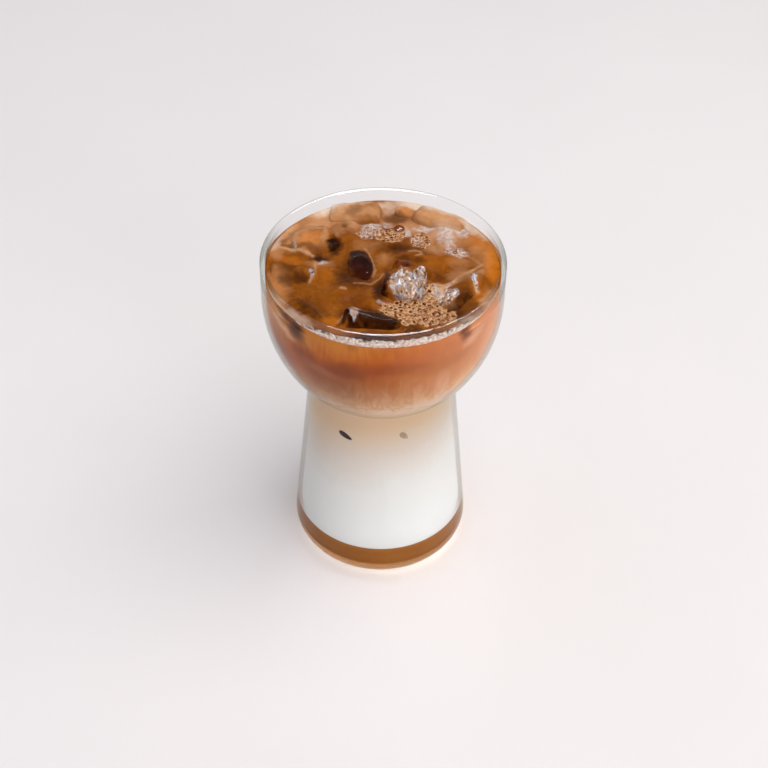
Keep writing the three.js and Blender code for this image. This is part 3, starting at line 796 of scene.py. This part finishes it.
SWELL_ROUNDNESS = 0.9         # below 1 a swell is fuller towards its edge
WANDER = 0.4                  # how far the outlines of the ovals wander, in mm, in waves about 6 mm long
FINE_WANDER = 0.25            # and in waves about 2.5 mm long


def within_oval(x, y, oval):
    """1 in an oval's middle, falling to 0 at its edge."""
    middle_x, middle_y, across, along, turn = oval[:5]
    angle = math.radians(turn)
    dx, dy = x - middle_x, y - middle_y
    u = (dx * math.cos(angle) + dy * math.sin(angle)) / across
    v = (dy * math.cos(angle) - dx * math.sin(angle)) / along
    return np.maximum(0, 1 - u * u - v * v)


def strongest(points, ovals, edge):
    """The largest amount of the ovals at each point. edge is the share of an oval over which it fades."""
    found = np.zeros(len(points))
    for oval in ovals:
        inside = within_oval(points[:, 0], points[:, 1], oval)
        found = np.maximum(found, oval[5] * np.clip(inside / edge, 0, 1))
    return found


def wandered(points):
    """Places in mm, moved to and fro by about half a millimetre, so that no oval has a plain outline."""
    x, y = points[:, 0] / MM, points[:, 1] / MM
    across = WANDER * np.sin(0.9 * y + 0.5 * x) + FINE_WANDER * np.sin(2.3 * y - 1.1 * x + 1)
    along = WANDER * np.sin(0.8 * x - 0.6 * y + 2) + FINE_WANDER * np.sin(2.1 * x + 1.3 * y)
    return np.stack((x + across, y + along), axis=1)


def beside_lines(points, lines):
    """How close each point in mm lies to the lines, each with its half width and amount."""
    found = np.zeros(len(points))
    for corners, width, amount in lines:
        for a, b in zip(corners, corners[1:]):
            start = np.array(a, float)
            along = np.array(b, float) - start
            share = np.clip((points - start) @ along / (along @ along), 0, 1)
            distance = np.linalg.norm(points - start - share[:, None] * along, axis=1)
            found = np.maximum(found, amount * np.exp(-(distance / width) ** 2))
    return found


def coffee_height(x, y):
    """The height of the coffee's top, with its swells and its climb at the wall."""
    swell = np.zeros_like(x)
    for oval in SWELLS:
        swell = np.maximum(swell, oval[5] * MM * within_oval(x / MM, y / MM, oval) ** SWELL_ROUNDNESS)
    wall = (np.hypot(x, y) - (INNER_RADIUS - MENISCUS_WIDTH)) / MENISCUS_WIDTH
    return COFFEE_LEVEL + swell + MENISCUS * np.maximum(0, wall) ** 2


def make_coffee(ice):
    """The coffee without the room for the ice, whose surface its top climbs."""
    wall = part_between(WET, MILK_LEVEL, COFFEE_LEVEL, COFFEE_STEP)
    edge = wall[-1].x
    rings = round(edge / SURFACE_STEP)
    top = [Vector((edge * (rings - i) / rings, COFFEE_LEVEL)) for i in range(1, rings + 1)]
    piece = turned("coffee_layer", [Vector((0, MILK_LEVEL)), *wall, *top], COFFEE_SIDES)
    points = points_of(piece)
    on_top = points[:, 2] > COFFEE_LEVEL - LEVEL
    points[on_top, 2] = coffee_height(points[on_top, 0], points[on_top, 1])
    from_ice = np.array([ice.find_nearest(Vector(point))[3] for point in points[on_top]])
    points[on_top, 2] += CLIMB * np.clip(1 - from_ice / CLIMB_WIDTH, 0, 1) ** 2
    ridges = beside_lines(points[on_top, :2] / MM, PALE_LINES)
    points[on_top, 2] += RIDGE * np.minimum(ridges, RIDGE_STRENGTH)
    set_points(piece, points)
    return piece


def dress_sides(coffee):
    """The sides, which the glass covers, have no gloss of their own."""
    at_the_wall = len(coffee.data.materials)
    coffee.data.materials.append(milky_coffee_at_the_wall())
    for face in coffee.data.polygons:
        on_side = face.normal.z < 0.5 or face.center.z < COFFEE_LEVEL - 2 * LEVEL
        if face.material_index == 0 and on_side:
            face.material_index = at_the_wall


def paint_top(piece):
    """Attributes of the drink's top that the materials read."""
    places = wandered(points_of(piece))
    for name, ovals in (("shade", SHADES), ("glow", PAINTED_GLOWS), ("blush", BLUSHES), ("haze", HAZES)):
        set_attribute(piece, name, strongest(places, ovals, SOFT))
    set_attribute(piece, "pale", beside_lines(points_of(piece)[:, :2] / MM, PALE_LINES))


def paint_coffee(piece):
    """The coffee's own attributes: froth on its top, the ice that shows dark or pale through the wall, and
    painted shade on the wall's left side.
    """
    points = points_of(piece)
    places = wandered(points)
    set_attribute(piece, "froth", strongest(places, FROTH, PATCHY))
    set_attribute(piece, "frost", strongest(places, FROST, SOFT))
    angles = np.degrees(np.arctan2(points[:, 1], points[:, 0]))
    on_wall = np.stack((angles, points[:, 2] / MM), axis=1)
    set_attribute(piece, "hollow", strongest(on_wall, WALL_SHADES, SOFT))
    set_attribute(piece, "pale_wall", strongest(on_wall, WALL_PALES, SOFT))


# Ice: where it shows clear and where it is white, as ovals like those on the drink's top
ICE = {
    "ice_peak": {
        "clear": [(-1, -11, 3.8, 10.5, -5, 1), (7, -2, 4.8, 3.8, 0, 1), (14.5, -14, 2.4, 6, 0, 0.6)],
        "frost": [(9.5, -12.5, 8.4, 8.4, 0, 1), (13.4, -5.8, 1.7, 3.2, 35, 1)]},
    "ice_right": {
        "clear": [(28.5, -20, 4.6, 8.4, -15, 0.5), (34.5, -9, 2.6, 6, -10, 0.2)],
        "frost": [(20.5, -16, 6.4, 5.5, 35, 0.8), (31.4, -8, 1.2, 6, 8, 0.7)]},
    "ice_oval": {"clear": [(-7.6, 1.8, 5.2, 12, 6, 1)], "frost": []},
    "ice_back_left": {
        "clear": [(-17.6, 11.5, 2.6, 5, -12, 0.5)],
        "frost": [(-32.3, 11.5, 1.9, 3.4, -20, 0.5)]},
    "ice_left": {
        "clear": [],
        "frost": [(-25.1, -1, 1.1, 7.5, 12, 0.8), (-27, 3.6, 3.4, 1.4, -20, 0.5)]},
    "ice_front_left": {"clear": [(-24.5, -24.5, 7.4, 3.4, -38, 0.4)], "frost": []},
    "ice_front": {
        "clear": [(-2.5, -31.5, 10, 4.8, -4, 0.8), (-11.5, -28.5, 3, 6, 22, 0.8)],
        "frost": [(-9, -24.6, 1.6, 5.6, 6, 1), (-10, -28.5, 1.4, 3, 10, 0.7)]},
    "ice_front_right": {"clear": [(10, -34.5, 5, 3, 10, 0.5)], "frost": [(6.8, -33, 1, 3, -30, 0.5)]},
    "ice_back_slab": {"clear": [(3.5, 29, 4.5, 3.2, 0, 0.3)], "frost": []},
    "ice_back_chip": {"clear": [], "frost": []},
    "ice_back_right": {"clear": [], "frost": []},
    "ice_right_chip": {"clear": [(27.5, -29, 4, 4, 0, 0.4)], "frost": []},
}
CRUSHED = ("ice_peak", "ice_right")
SHINING = ("ice_peak", "ice_right", "ice_front", "ice_oval")
ICE_VOXEL = 0.42 * MM         # of the meshes that melting and crushing start from
MELT_SIZE = 5 * MM            # width and depth of the lumps that melting leaves
MELT_DEPTH = 0.9 * MM
MELT_ROUNDS = 10              # times that a piece is smoothed
CRUSHED_MELT_ROUNDS = 6       # and a piece that is crushed in places
CRUSH_SIZE = 2.4 * MM         # width and depth of the lumps of crushed ice
CRUSH_DEPTH = 2.6 * MM
CRUSH_LEAST = 0.02            # frost up to this amount crushes nothing
CRUSH_FACES = 0.08            # share of a crushed piece's faces that is kept
HOLLOW_GAP = 0.1 * MM         # how much smaller than the ice the room for it in the coffee is


def cad_copy(node, name):
    """A copy of a CAD node's mesh, with its loose triangles joined."""
    piece = bpy.data.objects.new(name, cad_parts[node].data.copy())
    bpy.context.scene.collection.objects.link(piece)
    tidy_mesh(piece, SAME_CAD_POINT)
    return piece


def texture(name, kind, size):
    pattern = bpy.data.textures.new(name, kind)
    pattern.noise_scale = size
    return pattern


def crush(piece, frost):
    """Breaks the white parts of a smooth piece of ice into small flat faces, like crumpled foil."""
    group = piece.vertex_groups.new(name="crushed")
    for i in np.flatnonzero(frost > CRUSH_LEAST):
        group.add([int(i)], float(frost[i]), "REPLACE")
    lumps = texture("crush_" + piece.name, "CLOUDS", CRUSH_SIZE)
    apply_modifier(
        piece, "DISPLACE", texture=lumps, strength=CRUSH_DEPTH, mid_level=0.5, vertex_group="crushed")
    apply_modifier(piece, "DECIMATE", ratio=CRUSH_FACES)


def make_ice(node, material):
    """A piece of ice as melting leaves it: rounded, lumpy, and where it is crushed broken into flat faces."""
    crushed = node in CRUSHED
    piece = cad_copy(node, node + "_melting")
    apply_modifier(piece, "REMESH", mode="VOXEL", voxel_size=ICE_VOXEL)
    apply_modifier(piece, "SMOOTH", factor=0.5, iterations=CRUSHED_MELT_ROUNDS if crushed else MELT_ROUNDS)
    lumps = texture("melt_" + node, "CLOUDS", MELT_SIZE)
    apply_modifier(piece, "DISPLACE", texture=lumps, strength=MELT_DEPTH, mid_level=0.5)
    if crushed:
        crush(piece, strongest(points_of(piece)[:, :2] / MM, ICE[node]["frost"], BROKEN))
    places = wandered(points_of(piece))
    set_attribute(piece, "clear", strongest(places, ICE[node]["clear"], BROKEN))
    set_attribute(piece, "frost", strongest(places, ICE[node]["frost"], BROKEN))
    paint_top(piece)
    smooth(piece, CRUSHED_CREASE if crushed else None)
    dress(piece, material)
    keep(piece, "ice", node)
    return piece


def as_one_tree(pieces):
    """The surfaces of some pieces, to find the nearest one from any point."""
    points, faces = [], []
    for piece in pieces:
        faces.extend([i + len(points) for i in face.vertices] for face in piece.data.polygons)
        points.extend(vertex.co.copy() for vertex in piece.data.vertices)
    return BVHTree.FromPolygons(points, faces)


def hollow_out(coffee, pieces, lining):
    """Cuts the room for each piece of ice out of the coffee, a hair smaller than the ice, and lines it."""
    coffee.data.materials.append(lining)
    for ice in pieces:
        cutter = bpy.data.objects.new("cutter", ice.data.copy())
        bpy.context.scene.collection.objects.link(cutter)
        apply_modifier(cutter, "DISPLACE", strength=-HOLLOW_GAP, mid_level=0)
        dress(cutter, lining)
        apply_modifier(
            coffee, "BOOLEAN", operation="DIFFERENCE", solver="MANIFOLD", object=cutter,
            material_mode="TRANSFER")
        bpy.data.objects.remove(cutter)


# Bubbles of the froth: x, y and radius of the large ones in mm
LARGE_BUBBLES = [
    (18.2, -25.0, 1.8), (14.3, -27.8, 1.1), (21.4, -27.0, 0.9), (11.5, -25.5, 0.9), (16.5, -29.0, 0.9),
    (14.5, -24.0, 0.8), (5.6, 23.5, 2.5), (1.5, 22.5, 1.3), (2.6, 18.2, 0.8), (25.5, 8.6, 1.1),
]
BUBBLE_SINK = 0.35            # share of its radius that a bubble's middle lies below the surface
BUBBLE_TRIES = 3200
SMALLEST_BUBBLE = 0.28        # radius in mm, and how much more the largest of the small ones has
BUBBLE_GROWTH = 0.5
ICE_CLEARANCE = 1.4 * MM      # from the middle of a small bubble to the ice
SEED = 5


def add_bubbles(name, places, material, columns=12, rows=8):
    """Balls of film: places are (x, y, z, radius). Their rim attribute is 0 on top and 1 at the waterline."""
    deselect()
    bpy.ops.mesh.primitive_uv_sphere_add(segments=columns, ring_count=rows, radius=1)
    pattern = bpy.context.object
    ball = points_of(pattern)
    faces = [tuple(face.vertices) for face in pattern.data.polygons]
    bpy.data.objects.remove(pattern)
    points = np.concatenate([np.array(place[:3]) + ball * place[3] for place in places])
    polygons = [tuple(n * len(ball) + i for i in face) for n in range(len(places)) for face in faces]
    mesh = bpy.data.meshes.new(name)
    mesh.from_pydata(points.tolist(), [], polygons)
    piece = bpy.data.objects.new(name, mesh)
    bpy.context.scene.collection.objects.link(piece)
    rim = 1 - np.clip((ball[:, 2] - BUBBLE_SINK) / (1 - BUBBLE_SINK), 0, 1)
    set_attribute(piece, "rim", np.tile(rim, len(places)))
    smooth(piece)
    dress(piece, material)
    keep(piece, "milky_coffee")
    return piece


def surface_bubbles(chance, ice):
    """Bubbles of the froth, kept apart and clear of the ice, with the large ones first."""
    placed = []

    def settle(x, y, radius):
        level = float(coffee_height(np.array([x]), np.array([y]))[0])
        placed.append((x, y, level - BUBBLE_SINK * radius, radius))

    for x, y, radius in LARGE_BUBBLES:
        settle(x * MM, y * MM, radius * MM)
    for _ in range(BUBBLE_TRIES):
        patch = chance.choice(FROTH)
        spread = max(patch[2:4])
        x = (patch[0] + chance.uniform(-1, 1) * spread) * MM
        y = (patch[1] + chance.uniform(-1, 1) * spread) * MM
        radius = (SMALLEST_BUBBLE + BUBBLE_GROWTH * chance.random() ** 2.5) * MM
        inside = float(strongest(np.array([[x, y]]) / MM, [patch], 1.0)[0])
        if inside < 0.1 + 0.5 * chance.random() or math.hypot(x, y) > INNER_RADIUS - radius:
            continue
        if any(math.hypot(x - b[0], y - b[1]) < radius + b[3] for b in placed):
            continue
        if ice.find_nearest(Vector((x, y, COFFEE_LEVEL + radius)), ICE_CLEARANCE)[0] is None:
            settle(x, y, radius)
    return placed


# The line of froth where the drink meets the wall, thickest in front
FROTH_RING_LOW = 126.6 * MM
FROTH_RING_HIGH = 129.4 * MM
FROTH_RING_MIDDLE = (FROTH_RING_LOW + FROTH_RING_HIGH) / 2
FROTH_RING_HALF = (FROTH_RING_HIGH - FROTH_RING_LOW) / 2
FROTH_RING_DEPTH = 0.6 * MM
FROTH_RING_REACH = 0.3 * MM   # how far it reaches into the wall
FROTH_LUMP_SIZE = 1.2 * MM
FROTH_LUMP_DEPTH = 1.3 * MM
THICKEST_AT = -85             # degrees round the glass, where -90 is straight in front
THICK_SPAN = 50               # degrees to either side over which it is thick
THINNEST = 0.04               # share of its thickness that is left at the back
WALL_BUBBLE_TRIES = 1100
SMALLEST_WALL_BUBBLE = 0.2    # radius in mm, and how much more the largest has
WALL_BUBBLE_GROWTH = 0.3
WALL_BUBBLE_DRIFT = 0.4       # how far the bubbles lie from the line's edges, in mm
WALL_BUBBLE_STAND = 0.8       # share of its radius that a bubble's middle stands off the wall's inside


def ring_thickness(degrees):
    """Share of its full thickness that the line of froth has at an angle round the glass."""
    turn = (degrees - THICKEST_AT + 180) % 360 - 180
    return THINNEST + (1 - THINNEST) * math.exp(-(turn / THICK_SPAN) ** 4)


def make_froth_ring():
    middle, half = FROTH_RING_MIDDLE, FROTH_RING_HALF
    back_radius = INNER_RADIUS + FROTH_RING_REACH
    bulge = arc(INNER_RADIUS, middle, -FROTH_RING_DEPTH, half, -90, 90, 10)
    back = [Vector((back_radius, middle + half * share)) for share in (0.9, 0.45, 0, -0.45, -0.9)]
    piece = turned("froth_ring", [*bulge, *back, bulge[0]], FROTH_RING_SIDES)
    points = points_of(piece)
    at_wall = np.hypot(points[:, 0], points[:, 1]) > INNER_RADIUS + 0.5 * FROTH_RING_REACH
    lumps = texture("froth_lumps", "CLOUDS", FROTH_LUMP_SIZE)
    apply_modifier(piece, "DISPLACE", texture=lumps, strength=FROTH_LUMP_DEPTH, mid_level=0.5)
    points = points_of(piece)
    radii = np.hypot(points[:, 0], points[:, 1])
    angles = np.degrees(np.arctan2(points[:, 1], points[:, 0]))
    share = np.array([ring_thickness(angle) for angle in angles])
    inward = np.maximum(INNER_RADIUS - radii, 0) * share
    target = np.where(at_wall, back_radius, INNER_RADIUS - inward)
    points[:, :2] *= (target / radii)[:, None]
    up = (points[:, 2] - middle) / half
    points[:, 2] = middle + up * half * share
    set_points(piece, points)
    thinner_above = 0.2 * np.clip(up + 0.2, 0, 1)
    thinner_below = 0.2 * np.clip(-up, 0, 1) ** 4
    set_attribute(piece, "cover", 0.3 + 0.32 * share - thinner_above - thinner_below)
    smooth(piece)
    dress(piece, wall_froth())
    keep(piece, "milky_coffee")
    return piece


# Two corners of ice that touch the wall inside the milk: angle round the glass in degrees, height, half
# length and half width in mm, and tilt in degrees
SUNKEN_TIPS = {
    "ice_tip_dark": (-118.8, 68.6, 3.0, 1.6, -20),
    "ice_tip_pale": (-71.6, 70.6, 2.2, 1.5, -50),
}
TIP_REACH = 0.45 * MM         # how far they reach into the wall and into the milk
TIP_TAPER = 0.45              # share of its width that a tip loses towards its end


def make_sunken_tip(name, material):
    """A sliver of ice, pointed at its lower end, pressed against the wall under a film of milk."""
    angle, height, half_length, half_width, tilt = SUNKEN_TIPS[name]
    deselect()
    bpy.ops.mesh.primitive_uv_sphere_add(segments=20, ring_count=12, radius=MM)
    piece = bpy.context.object
    piece.name = name
    ball = points_of(piece) / MM
    along = ball[:, 0] * half_length
    taper = 1 - TIP_TAPER * (ball[:, 0] + 1) / 2
    across = ball[:, 1] * half_width * taper
    lean = math.radians(tilt)
    sideways = along * math.cos(lean) - across * math.sin(lean)
    up = along * math.sin(lean) + across * math.cos(lean)
    heights = height * MM + up * MM
    walls = np.array([radius_at(INSIDE, value) for value in heights])
    radii = walls + TIP_REACH * ball[:, 2]
    turn = math.radians(angle) + sideways * MM / walls
    set_points(piece, np.stack((radii * np.cos(turn), radii * np.sin(turn), heights), axis=1))
    tidy_mesh(piece)
    smooth(piece)
    dress(piece, material)
    keep(piece, "ice")
    return piece


def wall_bubbles(chance):
    """Single bubbles along both edges of the line of froth on the wall."""
    placed = []
    for _ in range(WALL_BUBBLE_TRIES):
        angle = math.radians(chance.uniform(-180, 180))
        thickness = ring_thickness(math.degrees(angle))
        if chance.random() > thickness:
            continue
        radius = (SMALLEST_WALL_BUBBLE + WALL_BUBBLE_GROWTH * chance.random() ** 3) * MM
        edge = FROTH_RING_MIDDLE + chance.choice((-1, 1)) * (FROTH_RING_HALF * thickness)
        height = edge + chance.uniform(-WALL_BUBBLE_DRIFT, WALL_BUBBLE_DRIFT) * MM
        out = INNER_RADIUS + FROTH_RING_REACH - WALL_BUBBLE_STAND * radius
        placed.append((out * math.cos(angle), out * math.sin(angle), height, radius))
    return placed


# Camera, floor and light. The camera's numbers were solved from the rim's ellipse and the glass's outline
CAMERA_ELEVATION = 42.43      # degrees
CAMERA_ROLL = 0.8             # degrees
CAMERA_AIM = Vector((0, 0, 72.9 * MM))
CAMERA_DISTANCE = 492.5       # mm, as are the lens and the sensor
CAMERA_LENS = 60.94
SENSOR_WIDTH = 36
SIDE_SHIFT = 2.4 / 768        # of the picture's width
FLOOR_SIZE = 6                # metres
FLOOR_GAP = 0.05 * MM         # between the floor and the glass, so that their faces don't share a plane
LIT_PLACE = Vector((0, 0, 0.1))   # where every lamp aims


def add_camera():
    elevation = math.radians(CAMERA_ELEVATION)
    back = Vector((0, -math.cos(elevation), math.sin(elevation)))
    roll = Matrix.Rotation(math.radians(CAMERA_ROLL), 3, "Z")
    turn = (-back).to_track_quat("-Z", "Y").to_matrix() @ roll
    bpy.ops.object.camera_add(location=CAMERA_AIM + back * CAMERA_DISTANCE * MM, rotation=turn.to_euler())
    camera = bpy.context.object
    camera.data.lens = CAMERA_LENS
    camera.data.sensor_width = SENSOR_WIDTH
    camera.data.shift_x = SIDE_SHIFT
    bpy.context.scene.camera = camera


def add_floor():
    deselect()
    bpy.ops.mesh.primitive_plane_add(size=FLOOR_SIZE, location=(0, 0, -FLOOR_GAP))
    floor = bpy.context.object
    floor.name = "floor"
    dress(floor, plaster())


def area_light(name, place, size, power, colour, shows_in_gloss=True, gloss_only=False):
    """A lamp that faces the drink. size is (width along X, depth) in metres, and power is in watts."""
    bpy.ops.object.light_add(type="AREA", location=place)
    light = bpy.context.object
    light.name = name
    light.data.shape = "RECTANGLE"
    light.data.size, light.data.size_y = size
    light.data.energy = power
    light.data.color = linear(colour)[:3]
    light.rotation_euler = (LIT_PLACE - Vector(place)).to_track_quat("-Z", "Y").to_euler()
    light.visible_glossy = shows_in_gloss
    if gloss_only:
        light.visible_diffuse = False
        light.visible_transmission = False
    return light


def shine_only_on(light, pieces, state="INCLUDE"):
    """Links a light to the pieces that it lights, or with EXCLUDE to those that it leaves out."""
    receivers = bpy.data.collections.new(light.name + "_receivers")
    for piece in pieces:
        receivers.objects.link(piece)
    for member in receivers.collection_objects:
        member.light_linking.link_state = state
    light.light_linking.receiver_collection = receivers


def add_light():
    """Daylight from a window high on the right, and the pale room's weaker light. Returns the window."""
    window = area_light("window", (0.6, -0.12, 1.5), (1.4, 1.4), 18, "#fffaf5")
    area_light("front_fill", (0.63, -1.35, 0.5), (1.0, 1.0), 8.6, "#fbfaff", shows_in_gloss=False)
    area_light("room_fill", (-0.9, 0.3, 1.2), (1.4, 1.4), 4, "#eef3ff", shows_in_gloss=False)
    world = bpy.data.worlds.new("room")
    bpy.context.scene.world = world
    world.use_nodes = True
    background = world.node_tree.nodes["Background"]
    background.inputs["Color"].default_value = linear("#eef0f5")
    background.inputs["Strength"].default_value = 0.4
    return window


def main():
    bpy.context.scene.view_settings.view_transform = "Standard"
    add_camera()
    add_floor()
    window = add_light()
    glass = make_glass()
    make_layer("syrup_layer", 0, SYRUP_LEVEL, caramel(), "caramel_syrup", "caramel_syrup")
    make_layer("milk_layer", SYRUP_LEVEL, MILK_LEVEL, milk(), "milk", "milk")
    wet_ice = melting_ice()
    ice = {node: make_ice(node, wet_ice) for node in ICE}
    ice_tree = as_one_tree(ice.values())
    coffee = make_coffee(ice_tree)
    dress(coffee, milky_coffee())
    hollow_out(coffee, ice.values(), deep_coffee_painted_shade())
    dress_sides(coffee)
    paint_top(coffee)
    paint_coffee(coffee)
    smooth(coffee, COFFEE_CREASE)
    keep(coffee, "milky_coffee", "coffee")
    chance = random.Random(SEED)
    froth = add_bubbles("surface_froth", surface_bubbles(chance, ice_tree), froth_film())
    make_froth_ring()
    add_bubbles("wall_froth", wall_bubbles(chance), wall_froth(), columns=8, rows=5)
    make_sunken_tip("ice_tip_dark", ice_behind_milk("dark_ice_behind_milk", "#1c1312", "#3a2a26"))
    # The pale tip's second colour is a painted cream highlight
    make_sunken_tip("ice_tip_pale", ice_behind_milk("pale_ice_behind_milk", "#5f3f2e", "#dcc2a8"))
    shine = area_light("overhead_shine", (0.1, -0.1, 1.6), (2.4, 0.5), 90, "#ffffff", gloss_only=True)
    rim_shine = area_light("rim_shine", (0.1, -0.3, 1.4), (1.0, 1.4), 100, "#fff6f2", gloss_only=True)
    rim_shine.data.cycles.max_bounces = 1
    shine_only_on(shine, [glass, froth, *(ice[node] for node in SHINING)])
    shine_only_on(rim_shine, [glass])
    shine_only_on(window, [glass], "EXCLUDE")


main()
